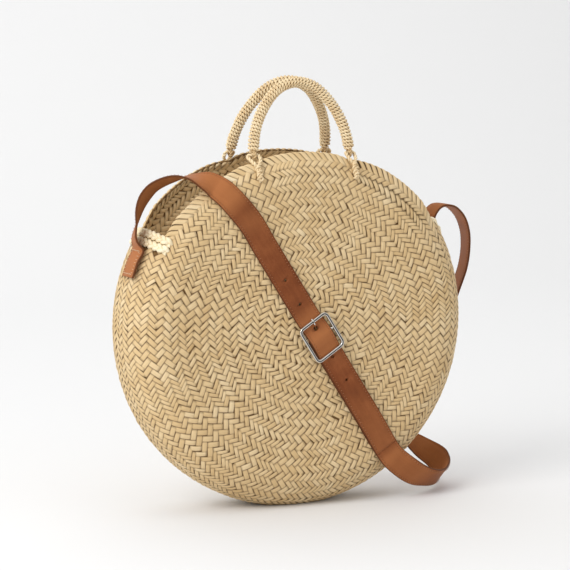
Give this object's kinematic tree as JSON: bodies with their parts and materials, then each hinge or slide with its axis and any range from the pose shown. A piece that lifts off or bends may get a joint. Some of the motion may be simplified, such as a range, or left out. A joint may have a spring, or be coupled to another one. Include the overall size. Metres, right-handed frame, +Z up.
{
  "type": "round woven straw bag with a leather strap",
  "caption": "Round flat-sided bag woven from palm straw, with arched rope carrying handles over its open mouth and a buckled leather cross-body strap.",
  "frame": {"origin": "middle of the flat patch under the bag, on the surface it stands on", "axes": "+Z up, -Y towards the front panel with the buckle, +X to the right as seen from the front"},
  "size_m": [0.4009, 0.1178, 0.4273],
  "materials": {
    "palm_straw": "matte dry palm leaf strips",
    "rope": "matte fibre rope",
    "palm_cord": "matte twisted raffia cord",
    "leather_face": "satin vegetable-tanned leather",
    "leather_lining": "matte raw leather back",
    "thread": "waxed thread",
    "nickel": "polished nickel plate"
  },
  "bodies": {
    "bag": {"front_panel": "palm_straw", "back_panel": "palm_straw", "gusset": "palm_straw", "left_mouth_end_braids": "palm_straw", "right_mouth_end_braids": "palm_straw", "front_rim_binding": "palm_straw", "back_rim_binding": "palm_straw", "front_left_handle_tie": "palm_cord", "front_right_handle_tie": "palm_cord", "back_left_handle_tie": "palm_cord", "back_right_handle_tie": "palm_cord", "holed_strap_face": "leather_face", "buckle_strap_face": "leather_face", "holed_strap_lining": "leather_lining", "buckle_strap_lining": "leather_lining", "left_backing_patch": "leather_lining", "right_backing_patch": "leather_lining", "left_tab_stitches": "thread", "right_tab_stitches": "thread", "fold_stitches": "thread", "buckle_frame": "nickel"},
    "front_handle": {"front_handle_core": "rope", "front_handle_wrap": "palm_cord"},
    "back_handle": {"back_handle_core": "rope", "back_handle_wrap": "palm_cord"},
    "prong": {"buckle_prong": "nickel"}
  },
  "joints": [
    {"name": "front_handle_swing", "type": "hinge", "parent": "bag", "child": "front_handle", "pos_m": [0, -0.0279, 0.35083], "axis": [1, 0, 0], "range_deg": [0, 82]},
    {"name": "back_handle_swing", "type": "hinge", "parent": "bag", "child": "back_handle", "pos_m": [0, 0.0279, 0.35083], "axis": [-1, 0, 0], "range_deg": [0, 92]},
    {"name": "prong_pivot", "type": "hinge", "parent": "bag", "child": "prong", "pos_m": [0.0103, -0.0481, 0.1711], "axis": [0.8406, 0, 0.5417], "range_deg": [0, 2]}
  ]
}
